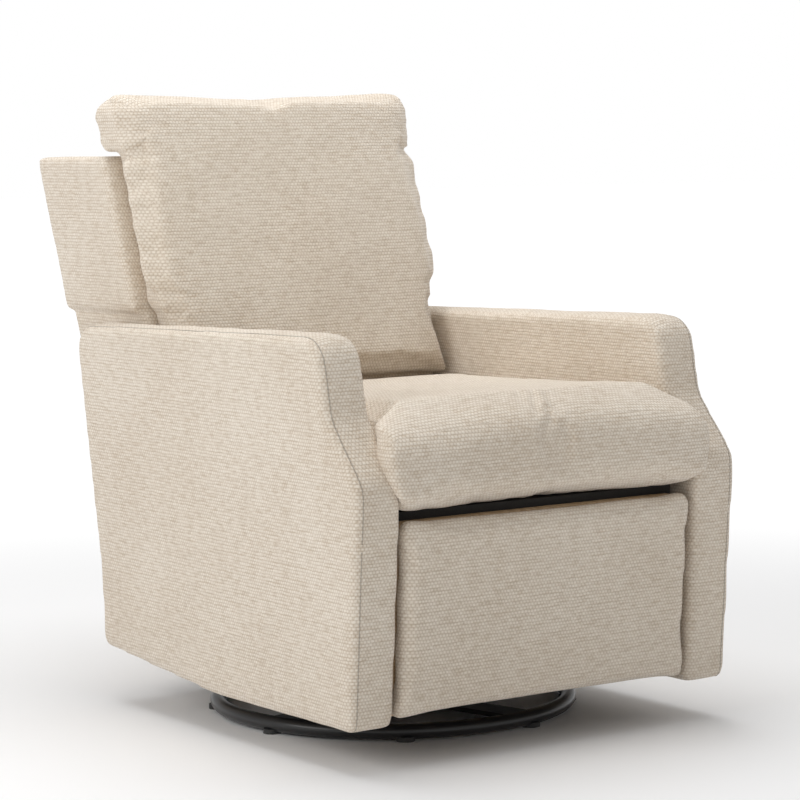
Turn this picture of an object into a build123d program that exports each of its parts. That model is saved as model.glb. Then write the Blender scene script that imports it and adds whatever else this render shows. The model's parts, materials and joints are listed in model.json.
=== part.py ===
from build123d import *
from math import atan2, cos, degrees, hypot, radians, sin, sqrt
import os

# Swivel glider recliner for a nursery, in millimetres.
# +Z is up, the chair faces -Y, and the sitter's left is +X.
# The origin is where the swivel axis meets the floor.

# ---------------------------------------------------------------- overall sizes
chair_width = 740.0
arm_thickness = 81.5
arm_height = 652.0
body_clearance = 66.0          # floor to the underside of the arms at the front
ring_diameter = 615.0
back_top_height = 922.0        # top of the back's frame
pillow_rise = 104.0            # how far the pillow's head stands above the frame
seat_height = 553.0            # top of the seat cushion at its front

# ---------------------------------------------------------------- swivel base
ring_tube = 25.0
pad_height = 3.0
pad_radius = 15.0
pad_count = 8
bar_width = 50.0
bar_thickness = 8.0
bar_turn = 14.0                # the cross stands turned against the chair
bearing_radius = 95.0
bearing_plate = 3.0
ball_radius = 4.0
ball_gap = 0.3
ball_count = 18
ball_circle = 72.0
cage_width = 16.0
cage_thickness = 2.0
swivel_bolt_radius = 8.0
running_gap = 0.05             # radial clearance of every pin in its bore

# ---------------------------------------------------------------- glide stand
crossmember = 20.0
crossmember_width = 40.0
crossmember_y = 62.0
plate = 4.0                    # thickness of every steel side plate and link
glide_pivot_y = 110.0
glide_link_length = 140.0
glide_link_width = 24.0
glide_angle = 15.0
glide_pin_radius = 6.0
lower_pivot_z = 95.0
bumper_radius = 9.0
bumper_gap = 0.6

# ---------------------------------------------------------------- layers across the chair, from the arm inward
side_rail_thickness = 26.5
side_gap = 4.0                 # side plate to the footrest links
link_gap = 3.0
carriage_inset = 76.5          # arm face to the outside of the carriage flange
carriage_gap = 5.0

# ---------------------------------------------------------------- arms
post_foot_y = -419.0
post_head_y = -447.0
scoop_low_z = 432.0
scoop_mid_y = -364.0
scoop_mid_z = 530.0
scoop_top_y = -340.0
arm_rear_drop = 18.0           # the arm's top falls this much towards the back
arm_rear_y = 411.0
arm_waist_y = 342.0
arm_waist_z = 240.0
arm_foot_y = 329.0
arm_foot_rise = 31.0
belly_y = -20.0                # the underside is level as far back as here
edge_padding = 18.0
arm_frame_thickness = 30.0
post_width = 70.0
arm_rail_depth = 60.0

# ---------------------------------------------------------------- seat
cushion_bottom = 388.0
cushion_front_y = -458.0
cushion_rear_y = 205.0
cushion_rear_drop = 26.0
cushion_side_gap = 2.5
cushion_ear = 12.0             # the cushion's front corners stand past the arm faces
arm_clearance = 4.0
rail_bottom = 300.0
rail_height = 45.0
rail_thickness = 25.0
front_rail_y = -380.0
rear_rail_y = 180.0
stretcher_bottom = 72.0
stretcher_height = 48.0
stretcher_thickness = 22.0
front_stretcher_y = -235.0
rear_stretcher_y = 190.0
deck_thickness = 30.0
spring_wire = 1.9
spring_wave = 22.0
spring_pitch = 25.0

# ---------------------------------------------------------------- reclining back
rake = 20.8
recline_pivot_y = 250.0
recline_pivot_z = 330.0
recline_pin_radius = 8.0
frame_front = -55.0            # depths are measured square to the back, from the pivot
frame_rear = 175.0
back_foot_z = 105.0
back_side_gap = 3.5
wing_flare = 20.0              # above the arms the back is wider than between them
wing_clearance = 10.0
wing_drop = 60.0               # behind the arms the wings reach this much lower
board_foot = 40.0
board_thickness = 18.0
side_padding = 12.0
outer_padding = 12.0
top_padding = 17.0
top_rail_height = 35.0
pillow_thickness = 53.0
pillow_side_gap = 9.0          # the pillow is this much narrower than the back's wings
head_overhang = 4.0            # and its head this much wider
head_depth = 18.0              # the head lies back over the frame's top edge this far
head_corner = 48.0
pillow_lift = 9.0              # the pillow widens this far above the wings' feet
pillow_gap = 3.0

# ---------------------------------------------------------------- footrest
panel_gap = 4.0                # panel to each arm post
panel_bottom = 73.0
panel_top = 380.0
panel_pad = 27.0
panel_board = 18.0
panel_inset = 1.0              # the panel's face lies this far behind the posts' face
panel_corner = 18.0
footrest_link = 190.0
footrest_link_width = 26.0
footrest_pin_radius = 6.0
drive_tube_radius = 10.0
link_pivot_y = -300.0
link_pivot_z = 280.0
panel_pivot_y = -370.0
panel_pivot_z = 250.0

# ---------------------------------------------------------------- worked-out places
half_width = chair_width / 2
arm_face = half_width - arm_thickness
plate_outer = arm_face - side_rail_thickness
plate_inner = plate_outer - plate
lower_link_x = plate_inner - side_gap - plate
upper_link_x = lower_link_x - link_gap - plate
lug_x = upper_link_x - link_gap - plate
carriage_x = arm_face - carriage_inset - plate
glide_link_x = carriage_x - carriage_gap - plate
upright_x = glide_link_x - carriage_gap - plate

ring_radius = ring_diameter / 2 - ring_tube / 2
ring_z = pad_height + ring_tube / 2
bar_bottom = ring_z - bar_thickness / 2
lower_plate_z = ring_z + bar_thickness / 2
race_floor = lower_plate_z + bearing_plate
ball_z = race_floor + ball_gap + ball_radius
upper_plate_z = ball_z + ball_radius + ball_gap
crossmember_z = upper_plate_z + bearing_plate
upper_pivot_z = lower_pivot_z + glide_link_length

rail_top = rail_bottom + rail_height
deck_bottom = cushion_bottom - 2.0 - deck_thickness
arm_foot_z = body_clearance + arm_foot_rise
back_side = arm_face - back_side_gap
wing_side = back_side + wing_flare
wing_foot_z = arm_height - arm_rear_drop + 16.0 + wing_clearance
wing_low_z = wing_foot_z - wing_drop
wing_front_y = arm_rear_y + 12.0


# ---------------------------------------------------------------- helpers
def block(x0, x1, y0, y1, z0, z1):
    """A box between two corners."""
    return Pos((x0 + x1) / 2, (y0 + y1) / 2, (z0 + z1) / 2) * Box(x1 - x0, y1 - y0, z1 - z0)


def slab(sketch, x0, x1):
    """A side-view sketch, whose own axes are Y and Z, made solid from x0 to x1."""
    return extrude(Plane.YZ.offset(x0) * sketch, amount=x1 - x0, dir=(1, 0, 0))


def rod(x0, x1, y, z, radius):
    """A round bar along X."""
    return slab(Pos(y, z) * Circle(radius), x0, x1)


def both_sides(shape):
    """A piece on the sitter's left and its mirror image on the right."""
    return Compound(children=[shape, mirror(shape, about=Plane.YZ)])


def rounded(points):
    """A closed outline of (y, z, corner radius)."""
    outline = Polygon(*[(y, z) for y, z, _ in points], align=None)
    for y, z, radius in points:
        if radius > 0:
            corner = min(outline.vertices(), key=lambda v: hypot(v.X - y, v.Y - z))
            outline = fillet(corner, radius)
    return outline


def bar_outline(y0, z0, y1, z1, width):
    """A straight link with round ends, seen from the side."""
    middle = ((y0 + y1) / 2, (z0 + z1) / 2)
    length = hypot(y1 - y0, z1 - z0)
    angle = degrees(atan2(z1 - z0, y1 - y0))
    return Pos(*middle) * Rot(0, 0, angle) * SlotCenterToCenter(length, width)


def link(y0, z0, y1, z1, width, x0, bore_at_start, bore_at_end):
    """A flat link from x0 outward, with a bore of the given radius at each end (0 for none)."""
    outline = bar_outline(y0, z0, y1, z1, width)
    for y, z, bore in ((y0, z0, bore_at_start), (y1, z1, bore_at_end)):
        if bore > 0:
            outline -= Pos(y, z) * Circle(bore)
    return slab(outline, x0, x0 + plate)


def back_plane(x):
    """The back's own side plane: first axis rearward, second axis up along the back."""
    tilt = radians(rake)
    return Plane(
        origin=(x, recline_pivot_y, recline_pivot_z),
        x_dir=(0, cos(tilt), -sin(tilt)),
        z_dir=(1, 0, 0),
    )


def back_slab(sketch, x0, x1):
    """A sketch in the back's own side plane made solid from x0 to x1."""
    return extrude(back_plane(x0) * sketch, amount=x1 - x0, dir=(1, 0, 0))


def along_back(depth, z):
    """How far up the back the level z lies, at a depth behind the pivot."""
    tilt = radians(rake)
    return (z - recline_pivot_z + depth * sin(tilt)) / cos(tilt)


def zigzag_spring(length):
    """A sinuous seat spring: flat waves of wire along Y, starting at the origin."""
    count = int(length / spring_pitch)
    step = length / count
    points = [(0, 0)]
    for i in range(count):
        side = spring_wave if i % 2 else -spring_wave
        points += [(side, (i + 0.12) * step), (side, (i + 0.88) * step)]
    points += [(0, length)]
    radii = [0.3 * step] * (len(points) - 2)
    path = FilletPolyline(*[(x, y, 0) for x, y in points], radius=radii)
    profile = path.location_at(0) * Circle(spring_wire)
    return sweep(profile, path=path)


# ---------------------------------------------------------------- swivel base
def make_base(nodes):
    tube = Pos(0, 0, ring_z) * Torus(ring_radius, ring_tube / 2)
    nodes["base_ring"] = tube

    hole = Pos(0, 0, ring_z) * Cylinder(swivel_bolt_radius, 4 * bar_thickness)
    level = Pos(0, 0, ring_z)
    full_bar = level * Box(2 * ring_radius, bar_width, bar_thickness)
    half_reach = (ring_radius - bar_width / 2) / 2
    half_bar = level * Pos(0, bar_width / 2 + half_reach, 0) * Box(bar_width, 2 * half_reach, bar_thickness)
    turn = Rot(0, 0, bar_turn)
    nodes["cross_bar_long"] = turn * (full_bar - hole) - tube
    nodes["cross_bar_halves"] = Compound(
        children=[turn * half_bar - tube, turn * Rot(0, 0, 180) * half_bar - tube]
    )

    pads = []
    for i in range(pad_count):
        angle = bar_turn + i * 360 / pad_count
        foot = Pos(ring_radius, 0, ring_z / 4) * Cylinder(pad_radius, ring_z / 2)
        pads.append(Rot(0, 0, angle) * foot - tube)
    nodes["floor_pads"] = Compound(children=pads)

    disc = Pos(0, 0, lower_plate_z + bearing_plate / 2) * Cylinder(bearing_radius, bearing_plate)
    nodes["bearing_lower_plate"] = disc - Pos(0, 0, lower_plate_z) * Cylinder(swivel_bolt_radius, 20)

    nut_z = crossmember_z + 2.5
    bolt_bottom = bar_bottom - 4.0
    bolt_top = nut_z + 16.0
    shank = Pos(0, 0, (bolt_bottom + bolt_top) / 2) * Cylinder(swivel_bolt_radius, bolt_top - bolt_bottom)
    head = Pos(0, 0, bolt_bottom + 2.0) * Cylinder(14.0, 4.0)
    nodes["swivel_bolt"] = shank + head
    nut = extrude(Pos(0, 0, nut_z) * RegularPolygon(13.0, 6), amount=11.0)
    washer = Pos(0, 0, nut_z - 1.0) * Cylinder(18.0, 2.0)
    core = Pos(0, 0, nut_z) * Cylinder(swivel_bolt_radius, 60)
    nodes["swivel_nut"] = (nut + washer) - core


def make_bearing(nodes):
    balls = []
    sockets = []
    for i in range(ball_count):
        spot = Rot(0, 0, i * 360 / ball_count) * Pos(ball_circle, 0, ball_z)
        balls.append(spot * Sphere(ball_radius))
        sockets.append(spot * Cylinder(ball_radius, 4 * cage_thickness))
    ring = Pos(0, 0, ball_z) * Cylinder(ball_circle + cage_width / 2, cage_thickness)
    ring -= Pos(0, 0, ball_z) * Cylinder(ball_circle - cage_width / 2, 2 * cage_thickness)
    for socket in sockets:
        ring -= socket
    nodes["bearing_cage"] = ring
    nodes["bearing_balls"] = Compound(children=balls)


# ---------------------------------------------------------------- glide stand
def bumper_centre(side, direction):
    """Where a rubber stop lies, so that a link reaches it at the end of its swing."""
    swing = radians(glide_angle) * direction
    reach = 0.55 * glide_link_length
    offset = (glide_link_width / 2 + bumper_radius + bumper_gap) * direction
    y = side * glide_pivot_y + reach * sin(swing) + offset * cos(swing)
    z = upper_pivot_z - reach * cos(swing) + offset * sin(swing)
    return y, z


def make_stand(nodes):
    disc = Pos(0, 0, upper_plate_z + bearing_plate / 2) * Cylinder(bearing_radius, bearing_plate)
    bore = Pos(0, 0, upper_plate_z) * Cylinder(swivel_bolt_radius + running_gap, 20)
    nodes["bearing_upper_plate"] = disc - bore

    half = crossmember_width / 2
    beams = []
    for y in (-crossmember_y, crossmember_y):
        beams.append(
            block(-upright_x, upright_x, y - half, y + half, crossmember_z, crossmember_z + crossmember)
        )
    nodes["stand_crossmembers"] = Compound(children=beams)

    reach = glide_pivot_y + 17.0
    outline = rounded(
        [
            (-reach, crossmember_z, 6),
            (reach, crossmember_z, 6),
            (reach, upper_pivot_z + 15, 14),
            (-reach, upper_pivot_z + 15, 14),
        ]
    )
    for y in (-45.0, 45.0):
        outline -= Pos(y, 130.0) * Circle(28.0)
    nodes["stand_uprights"] = both_sides(slab(outline, upright_x, upright_x + plate))

    pins = []
    bumpers = []
    for side in (-1, 1):
        y = side * glide_pivot_y
        shank = rod(upright_x + plate, glide_link_x + plate + 0.5, y, upper_pivot_z, glide_pin_radius)
        collar = rod(upright_x + plate, glide_link_x - 0.5, y, upper_pivot_z, glide_pin_radius + 3)
        cap = rod(glide_link_x + plate + 0.5, glide_link_x + plate + 2.5, y, upper_pivot_z, glide_pin_radius + 4)
        pins.append(shank + collar + cap)
        for direction in (-1, 1):
            by, bz = bumper_centre(side, direction)
            bumpers.append(rod(upright_x + plate, glide_link_x + plate, by, bz, bumper_radius))
    nodes["upper_glide_pins"] = both_sides(Compound(children=pins))
    nodes["glide_bumpers"] = both_sides(Compound(children=bumpers))


def make_glide_links(nodes):
    for name, side in (("front", -1), ("rear", 1)):
        y = side * glide_pivot_y
        bore = glide_pin_radius + running_gap
        strap = link(y, upper_pivot_z, y, lower_pivot_z, glide_link_width, glide_link_x, bore, 0)
        nodes[name + "_glide_links"] = both_sides(strap)
        end = carriage_x + plate
        pin = rod(glide_link_x + plate, end + 1.0, y, lower_pivot_z, glide_pin_radius)
        pin += rod(glide_link_x + plate, carriage_x - 0.5, y, lower_pivot_z, glide_pin_radius + 3)
        pin += rod(end + 1.0, end + 4.0, y, lower_pivot_z, glide_pin_radius + 4)
        nodes[name + "_link_pins"] = both_sides(pin)


# ---------------------------------------------------------------- chair body
def make_carriage(nodes):
    front = front_stretcher_y + stretcher_thickness
    low = stretcher_bottom + 2.0
    flange = block(carriage_x, carriage_x + plate, front, rear_stretcher_y, low, low + 42.0)
    for y in (-glide_pivot_y, glide_pivot_y):
        flange -= rod(carriage_x - 1, carriage_x + plate + 1, y, lower_pivot_z, glide_pin_radius + running_gap)
    foot = block(carriage_x + plate, carriage_x + plate + 30.0, front, rear_stretcher_y, low, low + plate)
    nodes["carriage_rails"] = both_sides(flange + foot)

    nodes["front_stretcher"] = block(
        -arm_face, arm_face,
        front_stretcher_y, front_stretcher_y + stretcher_thickness,
        stretcher_bottom, stretcher_bottom + stretcher_height,
    )
    nodes["rear_stretcher"] = block(
        -arm_face, arm_face,
        rear_stretcher_y, rear_stretcher_y + stretcher_thickness,
        stretcher_bottom, stretcher_bottom + stretcher_height,
    )


def make_seat_frame(nodes):
    outline = rounded(
        [
            (link_pivot_y - 20, link_pivot_z - 20, 12),
            (link_pivot_y + 25, link_pivot_z - 20, 20),
            (link_pivot_y + 70, rail_bottom, 30),
            (recline_pivot_y - 60, rail_bottom, 20),
            (recline_pivot_y, recline_pivot_z - 22, 12),
            (recline_pivot_y + 22, recline_pivot_z - 12, 10),
            (recline_pivot_y + 22, rail_top, 12),
            (link_pivot_y - 20, rail_top, 12),
        ]
    )
    outline -= Pos(link_pivot_y, link_pivot_z) * Circle(footrest_pin_radius + running_gap)
    outline -= Pos(recline_pivot_y, recline_pivot_z) * Circle(recline_pin_radius + running_gap)
    side_plate = slab(outline, plate_inner, plate_outer)
    nodes["side_plate_left"] = side_plate
    nodes["side_plate_right"] = mirror(side_plate, about=Plane.YZ)

    rail = block(plate_outer, arm_face, front_rail_y, cushion_rear_y, rail_bottom, rail_top)
    pin_room = rod(plate_outer - 1, plate_outer + 8, link_pivot_y, link_pivot_z, footrest_pin_radius + 6)
    nodes["seat_side_rails"] = both_sides(rail - pin_room)

    nodes["seat_front_rail"] = block(
        -plate_inner, plate_inner, front_rail_y, front_rail_y + rail_thickness, rail_bottom + 2, rail_top
    )
    nodes["seat_rear_rail"] = block(
        -plate_inner, plate_inner, rear_rail_y, rear_rail_y + rail_thickness, rail_bottom + 2, rail_top
    )

    bolts = []
    for y in (-180.0, -60.0, 60.0, 140.0):
        bolts.append(rod(plate_inner - 3, plate_inner, y, (rail_bottom + rail_top) / 2, 8.0))
    nodes["side_plate_bolts"] = both_sides(Compound(children=bolts))

    start = front_rail_y + rail_thickness / 2
    span = rear_rail_y + rail_thickness / 2 - start
    spring = Pos(0, start, rail_top + spring_wire) * zigzag_spring(span)
    across = plate_inner - 60.0
    nodes["seat_springs"] = Compound(children=[Pos(across * k / 2, 0, 0) * spring for k in range(-2, 3)])

    deck_side = arm_face - cushion_side_gap - 2.0
    nodes["seat_deck"] = block(
        -deck_side, deck_side,
        front_rail_y - 4, cushion_rear_y - 6,
        deck_bottom, deck_bottom + deck_thickness,
    )


def arm_outline():
    """The arm from the side: upright post, scooped front, level top and leaning rear."""
    return rounded(
        [
            (post_foot_y, body_clearance, 8),
            (post_head_y, scoop_low_z, 45),
            (scoop_mid_y, scoop_mid_z, 70),
            (scoop_top_y, arm_height, 52),
            (arm_rear_y, arm_height - arm_rear_drop, 34),
            (arm_waist_y, arm_waist_z, 300),
            (arm_foot_y, arm_foot_z, 8),
            (belly_y, body_clearance, 0),
        ]
    )


def make_arms(nodes):
    outline = arm_outline()
    core = offset(outline, amount=-edge_padding)
    skin = (arm_thickness - arm_frame_thickness) / 2
    frame_x0 = arm_face + skin
    frame_x1 = frame_x0 + arm_frame_thickness

    post_y = post_foot_y + edge_padding + post_width
    rear_y = arm_foot_y - edge_padding - post_width
    low = body_clearance + edge_padding
    top = arm_height - edge_padding
    lower_rail_top = arm_foot_z + arm_rail_depth
    top_rail_bottom = top - arm_rail_depth - arm_rear_drop

    def cut(y0, y1, z0, z1):
        window = Pos((y0 + y1) / 2, (z0 + z1) / 2) * Rectangle(y1 - y0, z1 - z0)
        return slab(core & window, frame_x0, frame_x1)

    members = [
        cut(-600, post_y, low - 10, top_rail_bottom),
        cut(rear_y, 600, low - 10, top_rail_bottom),
        cut(-600, 600, top_rail_bottom, top + 10),
        cut(post_y, rear_y, low - 10, lower_rail_top),
    ]
    frame = Compound(children=members)
    edge = slab(outline - core, frame_x0, frame_x1)
    inner = slab(outline, arm_face, frame_x0)
    outer = slab(outline, frame_x1, half_width)
    for name, shape in (
        ("arm_frame", frame),
        ("arm_edge_pad", edge),
        ("arm_inner_pad", inner),
        ("arm_outer_pad", outer),
    ):
        nodes[name + "_left"] = shape
        nodes[name + "_right"] = mirror(shape, about=Plane.YZ)


def make_seat_cushion(nodes):
    profile = rounded(
        [
            (cushion_front_y, cushion_bottom, 50),
            (cushion_front_y, seat_height, 72),
            (cushion_rear_y, seat_height - cushion_rear_drop, 12),
            (cushion_rear_y, cushion_bottom, 12),
        ]
    )
    side = arm_face - cushion_side_gap
    main = slab(profile, -side, side)
    ear_profile = profile - offset(arm_outline(), amount=arm_clearance)
    front_piece = max(ear_profile.faces(), key=lambda f: f.area)
    ears = slab(Sketch(front_piece.wrapped), -arm_face - cushion_ear, arm_face + cushion_ear)
    nodes["seat_cushion"] = main + ears


# ---------------------------------------------------------------- back
def back_outline(front, rear, foot, top_z):
    """A stretch of the back between two depths, from a foot line up to a level top."""
    return Polygon(
        (front, foot),
        (rear, foot),
        (rear, along_back(rear, top_z)),
        (front, along_back(front, top_z)),
        align=None,
    )


def make_back(nodes):
    frame_top = back_top_height - top_padding
    board_x1 = back_side - side_padding
    board_x0 = board_x1 - board_thickness
    inside_rear = frame_rear - outer_padding

    board = back_slab(back_outline(frame_front, inside_rear, board_foot, frame_top), board_x0, board_x1)
    nodes["back_side_board_left"] = board
    nodes["back_side_board_right"] = mirror(board, about=Plane.YZ)

    side_view = back_outline(frame_front, inside_rear, board_foot, back_top_height)
    wing = back_slab(side_view, board_x1, wing_side)
    wing -= block(0, half_width, 0, wing_front_y, 0, wing_foot_z)
    wing -= block(0, half_width, 0, 900, 0, wing_low_z)
    pad = back_slab(side_view, board_x1, back_side) + wing
    nodes["back_side_pad_left"] = pad
    nodes["back_side_pad_right"] = mirror(pad, about=Plane.YZ)

    rail_depth = 24.0
    for name, bottom, height, front, side_cut in (
        ("back_bottom_rail", board_foot + 14, 60.0, frame_front + 4, plate),
        ("back_lumbar_rail", 300.0, 60.0, inside_rear - rail_depth, 0.0),
    ):
        outline = Pos(front + rail_depth / 2, bottom + height / 2) * Rectangle(rail_depth, height)
        nodes[name] = back_slab(outline, -board_x0 + side_cut, board_x0 - side_cut)
    top_rail = back_outline(frame_front + 4, inside_rear, 0, frame_top)
    top_rail -= back_outline(frame_front + 3, inside_rear + 1, -1, frame_top - top_rail_height)
    nodes["back_top_rail"] = back_slab(top_rail, -board_x0, board_x0)

    top_pad = back_outline(frame_front, inside_rear, 0, back_top_height)
    top_pad -= back_outline(frame_front - 1, inside_rear + 1, -1, frame_top)
    nodes["back_top_pad"] = back_slab(top_pad, -board_x1, board_x1)

    foot = along_back(frame_rear, back_foot_z)
    low_panel = back_outline(inside_rear, frame_rear, foot, wing_low_z)
    high_panel = back_outline(inside_rear, frame_rear, foot, back_top_height)
    high_panel -= back_outline(inside_rear - 1, frame_rear + 1, foot - 1, wing_low_z)
    nodes["back_outer_panel"] = back_slab(low_panel, -back_side, back_side) + back_slab(
        high_panel, -wing_side, wing_side
    )

    spring_foot = board_foot + 14 + 50.0
    spring_span = along_back(frame_front, frame_top) - 30.0 - spring_foot
    tilt = radians(rake)
    spring_depth = frame_front + 4 - spring_wire
    y = recline_pivot_y + spring_depth * cos(tilt) + spring_foot * sin(tilt)
    z = recline_pivot_z - spring_depth * sin(tilt) + spring_foot * cos(tilt)
    spring = Pos(0, y, z) * Rot(90 - rake, 0, 0) * zigzag_spring(spring_span)
    across = board_x0 - 60.0
    nodes["back_springs"] = Compound(children=[Pos(across * k / 1.5, 0, 0) * spring for k in (-1.5, -0.5, 0.5, 1.5)])

    ear = rounded(
        [
            (-16, -16, 12),
            (16, -16, 12),
            (40, board_foot + 20, 8),
            (40, board_foot + 70, 8),
            (-30, board_foot + 70, 8),
            (-30, board_foot + 20, 8),
        ]
    )
    nodes["back_hinge_brackets"] = both_sides(back_slab(ear, board_x0 - plate, board_x0))
    pin = rod(board_x0, plate_outer, recline_pivot_y, recline_pivot_z, recline_pin_radius)
    nodes["recline_pins"] = both_sides(pin)


def make_pillow(nodes):
    face = frame_front - pillow_thickness
    behind = frame_front - pillow_gap / 2
    foot_z = seat_height - cushion_rear_drop + pillow_gap + 2
    neck_z = back_top_height + pillow_gap
    head_top = back_top_height + pillow_rise
    shoulder_z = wing_foot_z + pillow_lift
    low = back_outline(face, behind, 0, shoulder_z) - back_outline(face - 1, behind + 1, -1, foot_z)
    high = back_outline(face, behind, 0, neck_z) - back_outline(face - 1, behind + 1, -1, shoulder_z)
    body = back_slab(low, -back_side, back_side)
    body += back_slab(high, -wing_side + pillow_side_gap, wing_side - pillow_side_gap)

    head_rear = behind + head_depth
    head = rounded(
        [
            (face, along_back(face, neck_z), 0),
            (head_rear, along_back(head_rear, neck_z), 0),
            (head_rear, along_back(head_rear, head_top), 28),
            (face, along_back(face, head_top), 34),
        ]
    )
    head_side = wing_side + head_overhang
    window = Pos(0, head_top - 200) * Rectangle(2 * head_side, 400)
    window = fillet(window.vertices().sort_by(Axis.Y)[-2:], head_corner)
    opening = extrude(Plane.XZ * window, amount=900, dir=(0, 1, 0))
    nodes["back_pillow"] = body + (back_slab(head, -head_side, head_side) & opening)


# ---------------------------------------------------------------- footrest
def elbow_pivot():
    """The folded linkage's middle pivot: both links reach it from their outer pivots."""
    dy = panel_pivot_y - link_pivot_y
    dz = panel_pivot_z - link_pivot_z
    span = hypot(dy, dz)
    drop = sqrt(footrest_link ** 2 - (span / 2) ** 2)
    y = (link_pivot_y + panel_pivot_y) / 2 - drop * dz / span
    z = (link_pivot_z + panel_pivot_z) / 2 + drop * dy / span
    return y, z


def panel_face_y(z):
    """The footrest's front face leans with the arm posts."""
    lean = (post_head_y - post_foot_y) / (scoop_low_z - body_clearance)
    return post_foot_y + lean * (z - body_clearance) + panel_inset


def make_footrest(nodes):
    elbow_y, elbow_z = elbow_pivot()
    bore = footrest_pin_radius + running_gap

    lower = link(link_pivot_y, link_pivot_z, elbow_y, elbow_z, footrest_link_width, lower_link_x, 0, bore)
    tube = rod(-lower_link_x, lower_link_x, link_pivot_y, link_pivot_z, drive_tube_radius)
    nodes["footrest_drive_tube"] = tube
    nodes["lower_footrest_links"] = both_sides(lower)
    stub = rod(lower_link_x + plate, plate_outer + 2, link_pivot_y, link_pivot_z, footrest_pin_radius)
    nodes["drive_stubs"] = both_sides(stub)

    upper = link(elbow_y, elbow_z, panel_pivot_y, panel_pivot_z, footrest_link_width, upper_link_x, 0, 0)
    nodes["upper_footrest_links"] = both_sides(upper)
    elbow_pin = rod(upper_link_x + plate, lower_link_x + plate + 1, elbow_y, elbow_z, footrest_pin_radius)
    panel_pin = rod(lug_x - 1, upper_link_x, panel_pivot_y, panel_pivot_z, footrest_pin_radius)
    nodes["footrest_link_pins"] = both_sides(Compound(children=[elbow_pin, panel_pin]))
    nodes["footrest_tie_rod"] = rod(-upper_link_x, upper_link_x, elbow_y, elbow_z, 7.0)

    half = arm_face - panel_gap

    def leaf(front, rear, margin):
        profile = Polygon(
            (panel_face_y(panel_bottom) + front, panel_bottom),
            (panel_face_y(panel_top) + front, panel_top),
            (panel_face_y(panel_top) + rear, panel_top),
            (panel_face_y(panel_bottom) + rear, panel_bottom),
            align=None,
        )
        width = 2 * (half - margin)
        height = panel_top - panel_bottom - 2 * margin
        window = Pos(0, (panel_top + panel_bottom) / 2) * Rectangle(width, height)
        top_corners = window.vertices().sort_by(Axis.Y)[-2:]
        window = fillet(top_corners, panel_corner)
        opening = extrude(Plane.XZ.offset(700) * window, amount=700, dir=(0, 1, 0))
        return slab(profile, -half, half) & opening

    nodes["footrest_pad"] = leaf(0, panel_pad, 0)
    nodes["footrest_board"] = leaf(panel_pad, panel_pad + panel_board, 5)

    lug = Polygon(
        (panel_face_y(panel_pivot_z - 30) + panel_pad + panel_board, panel_pivot_z - 30),
        (panel_face_y(panel_pivot_z + 30) + panel_pad + panel_board, panel_pivot_z + 30),
        (panel_pivot_y + 8, panel_pivot_z + 12),
        (panel_pivot_y + 8, panel_pivot_z - 12),
        align=None,
    )
    lug += Pos(panel_pivot_y, panel_pivot_z) * Circle(13.0)
    lug -= Pos(panel_pivot_y, panel_pivot_z) * Circle(bore)
    nodes["footrest_lugs"] = both_sides(slab(lug, lug_x, lug_x + plate))


def build():
    nodes = {}
    make_base(nodes)
    make_bearing(nodes)
    make_stand(nodes)
    make_glide_links(nodes)
    make_carriage(nodes)
    make_seat_frame(nodes)
    make_arms(nodes)
    make_seat_cushion(nodes)
    make_back(nodes)
    make_pillow(nodes)
    make_footrest(nodes)
    return nodes


def save(nodes):
    os.makedirs("parts", exist_ok=True)
    for name, shape in nodes.items():
        export_step(shape, "parts/" + name + ".step")


nodes = build()
save(nodes)
print(len(nodes), "nodes")
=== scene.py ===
import json
import math

import bmesh
import bpy
import numpy as np
from mathutils import Matrix, Vector, noise
from mathutils.bvhtree import BVHTree


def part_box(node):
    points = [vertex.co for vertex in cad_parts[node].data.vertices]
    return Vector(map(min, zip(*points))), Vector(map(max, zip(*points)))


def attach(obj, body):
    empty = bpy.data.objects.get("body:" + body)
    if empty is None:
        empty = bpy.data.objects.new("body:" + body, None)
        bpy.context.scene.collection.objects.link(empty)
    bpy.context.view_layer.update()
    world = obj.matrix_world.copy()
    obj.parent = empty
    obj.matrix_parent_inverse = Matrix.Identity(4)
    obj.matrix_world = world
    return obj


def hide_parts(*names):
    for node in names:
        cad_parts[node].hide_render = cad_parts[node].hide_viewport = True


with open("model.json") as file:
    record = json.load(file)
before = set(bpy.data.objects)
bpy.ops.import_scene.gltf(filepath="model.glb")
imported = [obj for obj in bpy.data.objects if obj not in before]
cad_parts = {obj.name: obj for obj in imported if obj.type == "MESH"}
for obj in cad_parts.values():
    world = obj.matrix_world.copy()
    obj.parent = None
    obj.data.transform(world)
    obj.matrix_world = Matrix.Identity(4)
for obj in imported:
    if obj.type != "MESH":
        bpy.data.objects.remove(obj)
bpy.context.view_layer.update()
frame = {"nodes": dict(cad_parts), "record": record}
nodes = frame["nodes"]

# ---------------------------------------------------------------- sizes, in metres
VOXEL = 0.007
WEAVE_ACROSS = 0.0062
WEAVE_UP = 0.0052
SEAM_RADIUS = 0.0011
FLOOR_REACH = 40.0
CLOTH_FRAMES = 20
SCOOP_REAR_Y = -0.352            # behind this the arms are full height beside the cushion
PANEL_LEAN = 0.0235              # how far the footrest's foot stands behind its top
PANEL_PAD = 0.0265               # the footrest's padding, front to back
PUCKER_PITCH = 0.052             # from one gather in the pillow's side seam to the next
CREASES = ((-0.24, 0.93, 0.030, -1.3), (-0.245, 0.86, 0.026, -1.5))    # x, z, reach and tilt
WIDE_HALF = 0.303                # half the pillow's width where it covers the wings
WIDE_FROM = 0.690                # height where that begins, so that it clears the arms on recline
CUSHION_REAR_TOP = 0.5265        # the pillow's foot passes above the cushion here
LIP_SAG = 0.004                  # the cushion's front hangs this far over the footrest

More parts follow.
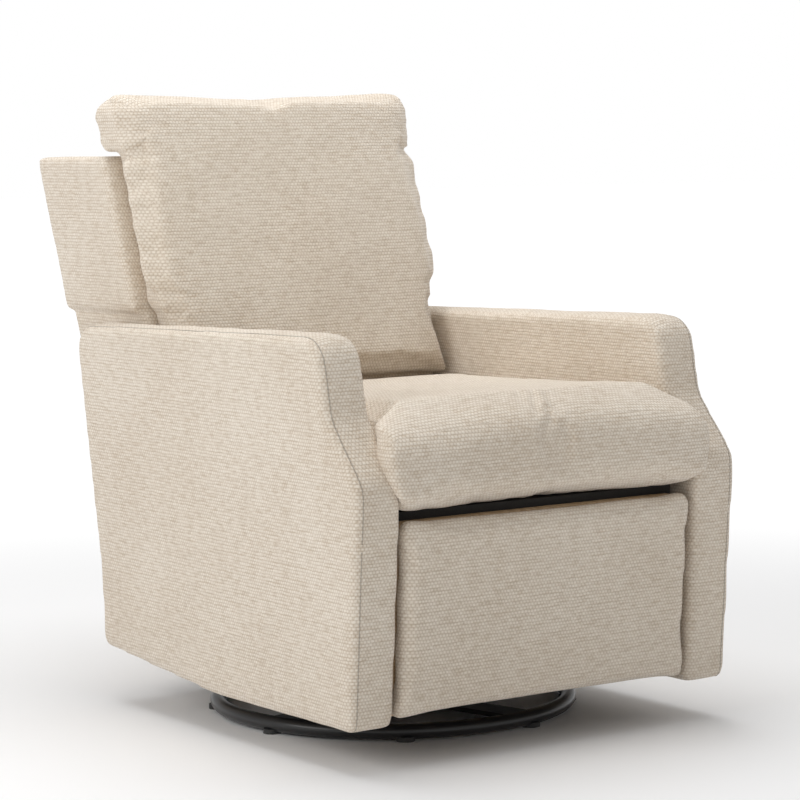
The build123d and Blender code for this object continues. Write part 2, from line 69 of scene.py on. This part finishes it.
# lowest and highest corners of the pieces that others line up with
cushion_low, cushion_high = (Vector(v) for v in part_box("seat_cushion"))
deck_low, deck_high = (Vector(v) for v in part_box("seat_deck"))
pillow_low, pillow_high = (Vector(v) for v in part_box("back_pillow"))
arm_low, arm_high = (Vector(v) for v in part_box("arm_outer_pad_left"))
inner_low = Vector(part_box("arm_inner_pad_left")[0])
panel_low, panel_high = (Vector(v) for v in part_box("footrest_pad"))
back_high = Vector(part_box("back_outer_panel")[1])
arm_face = inner_low.x


# ---------------------------------------------------------------- materials
class Tree:
    """A material's nodes, added and joined in short calls."""

    def __init__(self, name):
        self.material = bpy.data.materials.new(name)
        self.material.use_nodes = True
        self.tree = self.material.node_tree
        self.shader = self.tree.nodes["Principled BSDF"]

    def node(self, kind, **settings):
        made = self.tree.nodes.new(kind)
        for key, value in settings.items():
            setattr(made, key, value)
        return made

    def join(self, source, target):
        self.tree.links.new(source, target)

    def feed(self, socket, value):
        if isinstance(value, (int, float, tuple)):
            socket.default_value = value
        else:
            self.join(value, socket)

    def math(self, operation, a, b=0.0, c=0.0):
        made = self.node("ShaderNodeMath", operation=operation)
        for socket, value in zip(made.inputs, (a, b, c)):
            self.feed(socket, value)
        return made.outputs[0]

    def mix(self, factor, a, b):
        made = self.node("ShaderNodeMix", data_type="RGBA")
        self.feed(made.inputs["Factor"], factor)
        self.feed(made.inputs["A"], a)
        self.feed(made.inputs["B"], b)
        return made.outputs["Result"]

    def choose(self, factor, a, b):
        made = self.node("ShaderNodeMix", data_type="FLOAT")
        self.feed(made.inputs["Factor"], factor)
        self.feed(made.inputs["A"], a)
        self.feed(made.inputs["B"], b)
        return made.outputs["Result"]

    def noise(self, vector, scale, detail=3.0, roughness=0.5):
        made = self.node("ShaderNodeTexNoise")
        self.join(vector, made.inputs["Vector"])
        made.inputs["Scale"].default_value = scale
        made.inputs["Detail"].default_value = detail
        made.inputs["Roughness"].default_value = roughness
        return made.outputs[0]

    def combine(self, x, y, z=0.0):
        made = self.node("ShaderNodeCombineXYZ")
        for socket, value in zip(made.inputs, (x, y, z)):
            self.feed(socket, value)
        return made.outputs[0]

    def bump(self, height, strength, distance):
        made = self.node("ShaderNodeBump")
        made.inputs["Strength"].default_value = strength
        made.inputs["Distance"].default_value = distance
        self.join(height, made.inputs["Height"])
        self.join(made.outputs[0], self.shader.inputs["Normal"])


def surface_axes(t):
    """Two in-surface distances, across and up the cloth, from the side that each point faces."""
    coords = t.node("ShaderNodeTexCoord")
    place = t.node("ShaderNodeSeparateXYZ")
    t.join(coords.outputs["Object"], place.inputs[0])
    facing = t.node("ShaderNodeSeparateXYZ")
    t.join(coords.outputs["Normal"], facing.inputs[0])
    wander = t.math("MULTIPLY", t.math("SUBTRACT", t.noise(coords.outputs["Object"], 60.0, 2.0), 0.5), 0.16)
    side = t.math("ABSOLUTE", facing.outputs[0])
    front = t.math("ABSOLUTE", facing.outputs[1])
    top = t.math("ADD", t.math("ABSOLUTE", facing.outputs[2]), wander)
    upright = t.math("MAXIMUM", side, front)
    is_top = t.math("GREATER_THAN", top, upright)
    is_side = t.math("GREATER_THAN", t.math("ADD", side, wander), front)
    is_side = t.math("MULTIPLY", is_side, t.math("SUBTRACT", 1.0, is_top))
    across = t.choose(is_side, place.outputs[0], place.outputs[1])
    up = t.choose(is_top, place.outputs[2], place.outputs[1])
    return coords.outputs["Object"], across, up


def weave_fabric(name, cream, tan, painted_shade=1.0):
    """Chenille basket weave: rows of light pebbled yarn with tan gaps and slubs."""
    t = Tree(name)
    place, across, up = surface_axes(t)
    drift = t.math("MULTIPLY", t.math("SUBTRACT", t.noise(place, 35.0, 2.0), 0.5), 0.006)
    across = t.math("ADD", across, drift)
    up = t.math("ADD", up, t.math("MULTIPLY", drift, 0.35))
    rows = t.math("DIVIDE", up, WEAVE_UP)
    offset_row = t.math("MULTIPLY", t.math("FLOORED_MODULO", t.math("FLOOR", rows), 2.0), 0.5)
    columns = t.math("ADD", t.math("DIVIDE", across, WEAVE_ACROSS), offset_row)

    def hump(value):
        part = t.math("FRACT", value)
        return t.math("MULTIPLY", t.math("MULTIPLY", part, t.math("SUBTRACT", 1.0, part)), 4.0)

    pebble = t.math("POWER", t.math("MULTIPLY", hump(rows), hump(columns)), 0.6)
    stitch = t.combine(t.math("FLOOR", columns), t.math("FLOOR", rows))
    chance = t.node("ShaderNodeTexWhiteNoise", noise_dimensions="2D")
    t.join(stitch, chance.inputs["Vector"])
    slub_place = t.combine(t.math("MULTIPLY", across, 42.0), t.math("MULTIPLY", up, 190.0))
    slub = t.noise(slub_place, 1.0, 2.0, 0.6)
    slub = t.math("MULTIPLY", t.math("SUBTRACT", slub, 0.47), 5.0)
    slub = t.math("MINIMUM", t.math("MAXIMUM", slub, 0.0), 1.0)
    fuzz = t.noise(place, 900.0, 2.0)

    light = t.math("ADD", t.math("MULTIPLY", pebble, 0.85), t.math("MULTIPLY", chance.outputs[0], 0.22))
    light = t.math("SUBTRACT", light, t.math("MULTIPLY", slub, 0.34))
    light = t.math("ADD", light, t.math("MULTIPLY", t.math("SUBTRACT", fuzz, 0.5), 0.4))
    cloud = t.noise(place, 5.0, 3.0)
    light = t.math("ADD", light, t.math("MULTIPLY", t.math("SUBTRACT", cloud, 0.5), 0.5))
    light = t.math("MINIMUM", t.math("MAXIMUM", light, 0.0), 1.0)
    # A factor below 1 darkens both yarn colours: painted shade, used for the seam ridges.
    bright = tuple(c * painted_shade for c in cream) + (1.0,)
    dark = tuple(c * painted_shade for c in tan) + (1.0,)
    t.join(t.mix(light, dark, bright), t.shader.inputs["Base Color"])
    t.shader.inputs["Roughness"].default_value = 0.92
    t.shader.inputs["Sheen Weight"].default_value = 0.25
    t.shader.inputs["Sheen Roughness"].default_value = 0.5
    t.shader.inputs["Specular IOR Level"].default_value = 0.2
    height = t.math("ADD", pebble, t.math("MULTIPLY", fuzz, 0.45))
    t.bump(height, 0.75, 0.0011)
    return t.material


def enamel(name, color, roughness):
    """Semi-gloss paint over steel, with a faint orange peel and dusty patches."""
    t = Tree(name)
    coords = t.node("ShaderNodeTexCoord").outputs["Object"]
    dust = t.noise(coords, 14.0, 4.0)
    peel = t.noise(coords, 420.0, 2.0)
    dusty = tuple(c * 1.8 + 0.004 for c in color) + (1.0,)
    t.join(t.mix(dust, color + (1.0,), dusty), t.shader.inputs["Base Color"])
    t.join(t.math("ADD", roughness - 0.08, t.math("MULTIPLY", dust, 0.2)), t.shader.inputs["Roughness"])
    t.shader.inputs["Coat Weight"].default_value = 0.3
    t.shader.inputs["Coat Roughness"].default_value = 0.2
    t.bump(peel, 0.15, 0.0004)
    return t.material


def steel(name, color, roughness, stretch):
    """Plated steel with fine drawn lines."""
    t = Tree(name)
    coords = t.node("ShaderNodeTexCoord").outputs["Object"]
    parts = t.node("ShaderNodeSeparateXYZ")
    t.join(coords, parts.inputs[0])
    lines = t.combine(parts.outputs[0], t.math("MULTIPLY", parts.outputs[1], stretch), parts.outputs[2])
    brushed = t.noise(lines, 160.0, 4.0)
    worn = tuple(c * 0.72 for c in color) + (1.0,)
    t.join(t.mix(brushed, worn, color + (1.0,)), t.shader.inputs["Base Color"])
    t.join(t.math("ADD", roughness - 0.1, t.math("MULTIPLY", brushed, 0.22)), t.shader.inputs["Roughness"])
    t.shader.inputs["Metallic"].default_value = 1.0
    t.bump(brushed, 0.12, 0.0003)
    return t.material


def wood(name, pale, dark):
    """Sawn hardwood with rings and fine pores."""
    t = Tree(name)
    coords = t.node("ShaderNodeTexCoord").outputs["Object"]
    parts = t.node("ShaderNodeSeparateXYZ")
    t.join(coords, parts.inputs[0])
    grain_place = t.combine(
        t.math("MULTIPLY", parts.outputs[0], 3.0), parts.outputs[1], t.math("MULTIPLY", parts.outputs[2], 8.0)
    )
    warp = t.noise(grain_place, 6.0, 4.0)
    rings = t.math("SINE", t.math("MULTIPLY", warp, 55.0))
    rings = t.math("MULTIPLY_ADD", rings, 0.5, 0.5)
    pores = t.noise(grain_place, 140.0, 3.0)
    tone = t.math("MULTIPLY_ADD", pores, 0.5, t.math("MULTIPLY", rings, 0.5))
    t.join(t.mix(tone, dark + (1.0,), pale + (1.0,)), t.shader.inputs["Base Color"])
    t.shader.inputs["Roughness"].default_value = 0.68
    t.bump(pores, 0.3, 0.0006)
    return t.material


def moulded(name, color, roughness):
    """Moulded plastic or rubber with a fine sandblasted grain."""
    t = Tree(name)
    coords = t.node("ShaderNodeTexCoord").outputs["Object"]
    grain = t.noise(coords, 700.0, 2.0)
    patch = t.noise(coords, 20.0, 3.0)
    paler = tuple(c * 1.5 + 0.01 for c in color) + (1.0,)
    t.join(t.mix(patch, color + (1.0,), paler), t.shader.inputs["Base Color"])
    t.join(t.math("ADD", roughness, t.math("MULTIPLY", patch, 0.12)), t.shader.inputs["Roughness"])
    t.bump(grain, 0.25, 0.0003)
    return t.material


def felt(name, color):
    """Dark pressed felt with long loose fibres."""
    t = Tree(name)
    coords = t.node("ShaderNodeTexCoord").outputs["Object"]
    fibre = t.noise(coords, 380.0, 5.0, 0.7)
    low = tuple(c * 0.5 for c in color) + (1.0,)
    high = tuple(c * 1.6 for c in color) + (1.0,)
    t.join(t.mix(fibre, low, high), t.shader.inputs["Base Color"])
    t.shader.inputs["Roughness"].default_value = 0.95
    t.bump(fibre, 0.5, 0.0012)
    return t.material


CREAM = (0.83, 0.755, 0.655)
TAN = (0.56, 0.455, 0.345)
looks = {
    "cream_fabric": weave_fabric("cream_weave", CREAM, TAN),
    "ring_enamel": enamel("black_enamel", (0.012, 0.012, 0.013), 0.32),
    "mechanism_enamel": enamel("dark_enamel", (0.02, 0.02, 0.022), 0.45),
    "zinc_steel": steel("zinc_plate", (0.62, 0.62, 0.64), 0.38, 12.0),
    "spring_steel": steel("spring_wire", (0.42, 0.40, 0.38), 0.42, 3.0),
    "frame_wood": wood("frame_hardwood", (0.72, 0.55, 0.36), (0.48, 0.33, 0.19)),
    "deck_felt": felt("deck_felt_black", (0.05, 0.048, 0.045)),
    "bumper_rubber": moulded("bumper_black", (0.02, 0.02, 0.02), 0.75),
    "pad_plastic": moulded("pad_black", (0.025, 0.025, 0.025), 0.55),
    "cage_plastic": moulded("cage_natural", (0.7, 0.68, 0.62), 0.5),
}
# A darker copy of the cream weave for the seam ridges: painted shade of the seam's groove.
seam_painted_shade_look = weave_fabric("seam_weave_painted_shade", CREAM, TAN, 0.62)
slot_of = {entry["node"]: entry["material_slot"] for entry in frame["record"]["subparts"]}
for node_name, node_object in nodes.items():
    for index in range(len(node_object.material_slots)):
        node_object.material_slots[index].material = looks[slot_of[node_name]]


# ---------------------------------------------------------------- soft pieces
def solid_of(name, sources, hulls=()):
    """One mesh object from copies of the named solids, and the convex hull of each group in hulls."""
    mesh = bmesh.new()
    for source in sources:
        mesh.from_mesh(nodes[source].data)
    for group in hulls:
        part = bmesh.new()
        for source in group:
            part.from_mesh(nodes[source].data)
        done = bmesh.ops.convex_hull(part, input=part.verts)
        spare = [v for v in done["geom_interior"] if isinstance(v, bmesh.types.BMVert)]
        spare += [v for v in done["geom_unused"] if isinstance(v, bmesh.types.BMVert)]
        bmesh.ops.delete(part, geom=list(set(spare)), context="VERTS")
        held = bpy.data.meshes.new("hull")
        part.to_mesh(held)
        part.free()
        mesh.from_mesh(held)
        bpy.data.meshes.remove(held)
    bmesh.ops.remove_doubles(mesh, verts=mesh.verts, dist=1e-5)
    data = bpy.data.meshes.new(name)
    mesh.to_mesh(data)
    mesh.free()
    made = bpy.data.objects.new(name, data)
    bpy.context.collection.objects.link(made)
    return made


def apply_modifiers(piece):
    """Replaces the piece's mesh with what its modifiers make of it."""
    ready = piece.evaluated_get(bpy.context.evaluated_depsgraph_get())
    data = bpy.data.meshes.new_from_object(ready)
    piece.modifiers.clear()
    piece.data = data


def remesh(piece, size):
    step = piece.modifiers.new("remesh", "REMESH")
    step.mode = "VOXEL"
    step.voxel_size = size
    apply_modifiers(piece)


def soften(piece, times):
    """Rounds the edges: each pass moves the points towards their neighbours' middle."""
    step = piece.modifiers.new("soften", "SMOOTH")
    step.factor = 0.5
    step.iterations = times
    apply_modifiers(piece)


def places(piece):
    count = len(piece.data.vertices)
    out = np.empty(count * 3)
    piece.data.vertices.foreach_get("co", out)
    return out.reshape(count, 3)


def normals(piece):
    count = len(piece.data.vertices)
    out = np.empty(count * 3)
    piece.data.vertices.foreach_get("normal", out)
    return out.reshape(count, 3)


def move_to(piece, coords):
    piece.data.vertices.foreach_set("co", np.ascontiguousarray(coords).ravel())
    piece.data.update()


def inflate(piece, pressure, cap):
    """Swells the closed cloth by its inner pressure, and keeps each point within cap of its start."""
    start = places(piece)
    cloth = piece.modifiers.new("cloth", "CLOTH")
    cloth.settings.quality = 5
    cloth.settings.mass = 0.3
    cloth.settings.use_pressure = True
    cloth.settings.uniform_pressure_force = pressure
    cloth.settings.tension_stiffness = 18
    cloth.settings.compression_stiffness = 18
    cloth.settings.bending_stiffness = 0.8
    cloth.settings.effector_weights.gravity = 0
    cloth.collision_settings.use_collision = False
    scene = bpy.context.scene
    for number in range(1, CLOTH_FRAMES + 1):
        scene.frame_set(number)
    apply_modifiers(piece)
    scene.frame_set(1)
    moved = places(piece) - start
    length = np.linalg.norm(moved, axis=1, keepdims=True)
    move_to(piece, start + moved * np.minimum(1.0, cap / np.maximum(length, 1e-9)))


def finish_soft(piece, body, replaced):
    """The last steps of every upholstered piece."""
    step = piece.modifiers.new("fine", "SUBSURF")
    step.levels = 1
    step.render_levels = 1
    apply_modifiers(piece)
    piece.data.polygons.foreach_set("use_smooth", [True] * len(piece.data.polygons))
    piece.data.materials.clear()
    piece.data.materials.append(looks["cream_fabric"])
    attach(piece, body)
    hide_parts(*replaced)


def ripples(coords, scale, seed):
    """Smooth noise from -1 to 1 at each point."""
    return np.array([noise.noise(Vector(c) * scale + Vector((seed, 0, 0))) for c in coords])


def bell(distance, width):
    return np.exp(-((distance / width) ** 2))


def within_box(coords, low, high):
    """Keeps points between two corners, each given as three numbers or None."""
    for axis in range(3):
        if low[axis] is not None:
            coords[:, axis] = np.maximum(coords[:, axis], low[axis])
        if high[axis] is not None:
            coords[:, axis] = np.minimum(coords[:, axis], high[axis])
    return coords


def fill_box(coords, low, high):
    """Stretches points so that they just fill the box between two corners."""
    was_low = coords.min(axis=0)
    share = (coords - was_low) / (coords.max(axis=0) - was_low)
    return np.array(low) + share * (np.array(high) - np.array(low))


def widen_front(coords):
    """Brings the pillow's front out over the wings, above the arms."""
    levels = np.linspace(pillow_low.z, pillow_high.z, 36)
    slot = np.abs(coords[:, 2:3] - levels[None, :]).argmin(axis=1)
    front = np.array([coords[slot == k, 1].min() for k in range(len(levels))])
    half = np.array([np.abs(coords[slot == k, 0]).max() for k in range(len(levels))])
    depth = coords[:, 1] - np.interp(coords[:, 2], levels, front)
    local = np.interp(coords[:, 2], levels, half)
    across = np.abs(coords[:, 0])
    near = 1 - np.clip((depth - 0.038) / 0.010, 0, 1)
    level = np.clip((coords[:, 2] - WIDE_FROM) / 0.02, 0, 1)
    reach = np.clip((across - 0.18) / (local - 0.18), 0, 1)
    coords[:, 0] += np.sign(coords[:, 0]) * np.maximum(WIDE_HALF - local, 0) * level * near * reach
    return coords


def seam_along(name, body, piece, path):
    """A thin sewn ridge that follows the piece's surface through the nearest points to a path."""
    tree = BVHTree.FromObject(piece, bpy.context.evaluated_depsgraph_get())
    points = []
    for spot in path:
        hit = tree.find_nearest(Vector(spot))
        points.append(hit[0] - hit[1] * SEAM_RADIUS * 0.25)
    data = bpy.data.curves.new(name, "CURVE")
    data.dimensions = "3D"
    data.bevel_depth = SEAM_RADIUS
    data.bevel_resolution = 2
    line = data.splines.new("POLY")
    line.points.add(len(points) - 1)
    for target, spot in zip(line.points, points):
        target.co = (*spot, 1.0)
    made = bpy.data.objects.new(name, data)
    bpy.context.collection.objects.link(made)
    # The ridge wears the darker weave: painted shade along the seam.
    data.materials.append(seam_painted_shade_look)
    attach(made, body)


def arm_outline():
    """The arm's outline in (y, z), in order, from the outer pad's outside face."""
    far = arm_high.x - 1e-4
    corners = nodes["arm_outer_pad_left"].data.vertices
    spots = {(round(v.co.y, 4), round(v.co.z, 4)) for v in corners if v.co.x > far}
    middle = (0.5 * (arm_low.y + arm_high.y), 0.55 * arm_high.z)
    return sorted(spots, key=lambda s: math.atan2(s[1] - middle[1], s[0] - middle[0]))


def evenly(path, step):
    """Points at an even distance along a closed path of (y, z)."""
    out = []
    for a, b in zip(path, path[1:] + path[:1]):
        count = max(1, int(math.hypot(b[0] - a[0], b[1] - a[1]) / step))
        for k in range(count):
            out.append((a[0] + (b[0] - a[0]) * k / count, a[1] + (b[1] - a[1]) * k / count))
    return out


def make_arm(side, sign):
    sources = ["arm_inner_pad_" + side, "arm_outer_pad_" + side, "arm_edge_pad_" + side]
    piece = solid_of("arm_upholstery_" + side, sources + ["arm_frame_" + side])
    remesh(piece, VOXEL)
    soften(piece, 10)
    coords = places(piece)
    facing = normals(piece)
    outward = facing[:, 0] * sign
    soft = ripples(coords, 9.0, 3.0 + sign) * 0.0014 + ripples(coords, 26.0, 7.0) * 0.0006
    from_middle = np.abs(coords[:, 0]) - (arm_face + arm_high.x) / 2
    top_crown = bell(from_middle, 0.03) * np.maximum(facing[:, 2], 0) * 0.005
    coords = coords + facing * (soft + top_crown + 0.0015)[:, None]
    sag = bell(coords[:, 2] - 0.36, 0.16) * bell(coords[:, 1] + 0.02, 0.26) * np.maximum(outward, 0) * 0.003
    coords[:, 0] -= sign * sag
    limit = arm_face - 0.0006
    if sign > 0:
        coords[:, 0] = np.maximum(coords[:, 0], limit)
    else:
        coords[:, 0] = np.minimum(coords[:, 0], -limit)
    move_to(piece, coords)
    finish_soft(piece, "seat", sources)

    outline = evenly(arm_outline(), 0.012)
    front = [(y, z) for y, z in outline if y < -0.28 or z > arm_high.z - 0.06]
    front = sorted(front, key=lambda s: math.atan2(s[1] - 0.35, s[0] - 0.02), reverse=True)
    path = [(sign * (arm_high.x - 0.012), y, z) for y, z in front]
    seam_along("arm_seam_" + side, "seat", piece, path)


def make_cushion():
    piece = solid_of("seat_cushion_cover", ["seat_cushion"])
    remesh(piece, VOXEL)
    soften(piece, 10)
    coords = places(piece)
    middle = (cushion_low + cushion_high) / 2
    shrink = np.array([0.985, 0.985, 0.97])
    centre = np.array(middle)
    move_to(piece, centre + (coords - centre) * shrink)
    inflate(piece, 4.0, 0.024)
    coords = places(piece)
    facing = normals(piece)
    reach_x = np.abs(coords[:, 0]) / arm_face
    forward = np.clip((middle.y - coords[:, 1]) / (middle.y - cushion_low.y), 0, 1)
    crown = np.clip(1 - reach_x ** 2.4, 0, 1) * (0.35 + 0.65 * forward) * np.clip(facing[:, 2], 0, 1)
    coords[:, 2] += crown * 0.010
    waves = ripples(coords, 7.0, 11.0) * 0.0022 + ripples(coords, 22.0, 5.0) * 0.0008
    coords += facing * waves[:, None]
    coords = fill_box(
        coords, (-cushion_high.x, cushion_low.y - 0.004, cushion_low.z - 0.001),
        (cushion_high.x, cushion_high.y, cushion_high.z + 0.007),
    )
    behind_scoop = coords[:, 1] > SCOOP_REAR_Y
    side_limit = np.where(behind_scoop, arm_face - 0.0012, cushion_high.x + 0.008)
    coords[:, 0] = np.clip(coords[:, 0], -side_limit, side_limit)
    coords = within_box(coords, (None, cushion_low.y - 0.006, deck_high.z + 0.0006),
                        (None, cushion_high.y + 0.004, cushion_high.z + 0.012))
    front = np.clip((deck_low.y - coords[:, 1]) / 0.03, 0, 1)
    below = np.clip((middle.z - coords[:, 2]) / (middle.z - cushion_low.z), 0, 1)
    squared = middle.z - (middle.z - cushion_low.z) * below ** 0.5
    coords[:, 2] = np.where(below > 0, coords[:, 2] + (squared - coords[:, 2]) * front, coords[:, 2])
    coords[:, 2] -= LIP_SAG * front * below
    bulge = np.clip(reach_x * 4 - 3, 0, 1) * front * bell(coords[:, 2] - middle.z, 0.05)
    coords[:, 0] += np.sign(coords[:, 0]) * 0.012 * bulge
    rear = coords[:, 1] > cushion_high.y - 0.06
    coords[:, 2] = np.where(rear, np.minimum(coords[:, 2], CUSHION_REAR_TOP), coords[:, 2])
    move_to(piece, coords)
    finish_soft(piece, "seat", ["seat_cushion"])


def make_footrest():
    piece = solid_of("footrest_cover", ["footrest_pad"])
    remesh(piece, 0.006)
    soften(piece, 8)
    inflate(piece, 2.5, 0.008)
    coords = places(piece)
    facing = normals(piece)
    coords += facing * (ripples(coords, 8.0, 21.0) * 0.0014)[:, None]
    coords[:, 2] += 0.004 * np.clip((coords[:, 2] - panel_high.z + 0.03) / 0.03, 0, 1)
    side = panel_high.x + 0.0022
    coords = within_box(coords, (-side, None, panel_low.z - 0.002), (side, None, panel_high.z + 0.002))
    back_of_pad = np.interp(coords[:, 2], [panel_low.z, panel_high.z],
                            [panel_low.y + PANEL_LEAN + PANEL_PAD, panel_low.y + PANEL_PAD])
    coords[:, 1] = np.minimum(coords[:, 1], back_of_pad)
    move_to(piece, coords)
    finish_soft(piece, "footrest", ["footrest_pad"])


def make_back():
    piece = solid_of(
        "back_upholstery",
        ["back_side_pad_left", "back_side_pad_right", "back_top_pad", "back_outer_panel"],
        [["back_side_board_left", "back_side_board_right"]],
    )
    remesh(piece, VOXEL)
    soften(piece, 9)
    coords = places(piece)
    facing = normals(piece)
    waves = ripples(coords, 8.0, 31.0) * 0.0016 + ripples(coords, 24.0, 9.0) * 0.0006
    coords += facing * (waves + 0.0012)[:, None]
    below = coords[:, 2] < arm_high.z + 0.004
    limit = np.where(below, arm_face - 0.0022, back_high.x + 0.004)
    coords[:, 0] = np.clip(coords[:, 0], -limit, limit)
    move_to(piece, coords)
    finish_soft(
        piece, "back",
        ["back_side_pad_left", "back_side_pad_right", "back_top_pad", "back_outer_panel"],
    )


def make_pillow():
    piece = solid_of("back_pillow_cover", ["back_pillow"])
    remesh(piece, VOXEL)
    soften(piece, 18)
    inflate(piece, 4.5, 0.022)
    coords = fill_box(
        places(piece), (-pillow_high.x, pillow_low.y - 0.002, pillow_low.z),
        (pillow_high.x, pillow_high.y, pillow_high.z + 0.004),
    )
    coords = widen_front(coords)
    facing = normals(piece)
    width = pillow_high.x
    across = np.abs(coords[:, 0]) / width
    frontness = np.clip(-facing[:, 1], 0, 1)
    crown = np.clip(1 - across ** 3, 0, 1) * frontness
    coords[:, 1] -= crown * 0.012
    edge = bell(across - 0.96, 0.10)
    pucker = np.sin(coords[:, 2] * 2 * math.pi / PUCKER_PITCH + ripples(coords, 12.0, 2.0) * 2.0)
    coords += facing * (edge * pucker * 0.0015)[:, None]
    for x, z, reach, tilt in CREASES:
        along = coords[:, 0] - x
        off = coords[:, 2] - z - along * tilt
        coords[:, 1] += bell(off, 0.009) * bell(along, reach) * frontness * 0.0026
        coords[:, 1] -= bell(off - 0.02, 0.014) * bell(along, reach) * frontness * 0.0018
    waves = ripples(coords, 6.5, 41.0) * 0.003 + ripples(coords, 20.0, 15.0) * 0.0011
    coords += facing * waves[:, None]
    dip = bell(coords[:, 0] + 0.02, 0.09) * np.clip(facing[:, 2], 0, 1) * 0.006
    coords[:, 2] -= dip
    low = coords[:, 2] < arm_high.z + 0.004
    limit = np.where(low, arm_face - 0.0028, pillow_high.x + 0.01)
    coords[:, 0] = np.clip(coords[:, 0], -limit, limit)
    coords = within_box(coords, (None, None, pillow_low.z - 0.001), (None, None, pillow_high.z + 0.008))
    move_to(piece, coords)
    finish_soft(piece, "back", ["back_pillow"])


make_arm("left", 1)
make_arm("right", -1)
make_cushion()
make_footrest()
make_back()
make_pillow()


# ---------------------------------------------------------------- floor, lights and camera
def make_floor():
    """A pale floor that turns to plain white away from the chair."""
    data = bpy.data.meshes.new("floor")
    corners = [(-FLOOR_REACH, -FLOOR_REACH, 0), (FLOOR_REACH, -FLOOR_REACH, 0)]
    corners += [(FLOOR_REACH, FLOOR_REACH, 0), (-FLOOR_REACH, FLOOR_REACH, 0)]
    data.from_pydata(corners, [], [(0, 1, 2, 3)])
    floor = bpy.data.objects.new("floor", data)
    bpy.context.collection.objects.link(floor)
    t = Tree("studio_floor")
    away = t.node("ShaderNodeVectorMath", operation="LENGTH")
    t.join(t.node("ShaderNodeTexCoord").outputs["Object"], away.inputs[0])
    fade = t.node("ShaderNodeMapRange", interpolation_type="SMOOTHSTEP")
    t.join(away.outputs["Value"], fade.inputs["Value"])
    fade.inputs["From Min"].default_value = 0.8
    fade.inputs["From Max"].default_value = 2.6
    far = fade.outputs["Result"]
    t.join(t.mix(far, (0.95, 0.95, 0.955, 1), (0, 0, 0, 1)), t.shader.inputs["Base Color"])
    t.shader.inputs["Emission Color"].default_value = (1, 1, 1, 1)
    t.join(far, t.shader.inputs["Emission Strength"])
    t.shader.inputs["Roughness"].default_value = 0.6
    t.shader.inputs["Specular IOR Level"].default_value = 0.2
    data.materials.append(t.material)


def area_light(name, place, target, size, power):
    data = bpy.data.lights.new(name, "AREA")
    data.shape = "SQUARE"
    data.size = size
    data.energy = power
    lamp = bpy.data.objects.new(name, data)
    bpy.context.collection.objects.link(lamp)
    lamp.location = place
    aim = Vector(target) - Vector(place)
    lamp.rotation_euler = aim.to_track_quat("-Z", "Y").to_euler()


def make_studio():
    world = bpy.data.worlds.new("studio")
    bpy.context.scene.world = world
    world.use_nodes = True
    tree = world.node_tree
    ambient = tree.nodes["Background"]
    ambient.inputs["Color"].default_value = (1, 1, 1, 1)
    ambient.inputs["Strength"].default_value = 0.41
    seen = tree.nodes.new("ShaderNodeBackground")
    seen.inputs["Color"].default_value = (1, 1, 1, 1)
    seen.inputs["Strength"].default_value = 1.0
    rays = tree.nodes.new("ShaderNodeLightPath")
    chosen = tree.nodes.new("ShaderNodeMixShader")
    tree.links.new(rays.outputs["Is Camera Ray"], chosen.inputs[0])
    tree.links.new(ambient.outputs[0], chosen.inputs[1])
    tree.links.new(seen.outputs[0], chosen.inputs[2])
    tree.links.new(chosen.outputs[0], tree.nodes["World Output"].inputs["Surface"])
    area_light("overhead", (0.1, 0.5, 3.0), (0, 0, 0.4), 2.6, 62)
    area_light("left_key", (-3.4, -0.3, 1.9), (0, 0, 0.6), 1.8, 41)
    area_light("right_fill", (3.0, -0.4, 1.6), (0, 0, 0.5), 1.6, 3)
    bpy.context.scene.view_settings.view_transform = "Standard"


def make_camera():
    yaw, pitch, roll = (math.radians(a) for a in (34.9, 5.3, -0.64))
    forward = Vector((math.sin(yaw) * math.cos(pitch), math.cos(yaw) * math.cos(pitch), -math.sin(pitch)))
    level = Vector((math.cos(yaw), -math.sin(yaw), 0))
    upward = level.cross(forward)
    right = level * math.cos(roll) + upward * math.sin(roll)
    upward = right.cross(forward)
    data = bpy.data.cameras.new("camera")
    data.sensor_width = 36
    data.lens = 126
    camera = bpy.data.objects.new("camera", data)
    bpy.context.collection.objects.link(camera)
    turn = Matrix((right, upward, -forward)).transposed()
    camera.matrix_world = Matrix.Translation((-2.648, -3.8255, 0.9455)) @ turn.to_4x4()
    bpy.context.scene.camera = camera


make_floor()
make_studio()
make_camera()
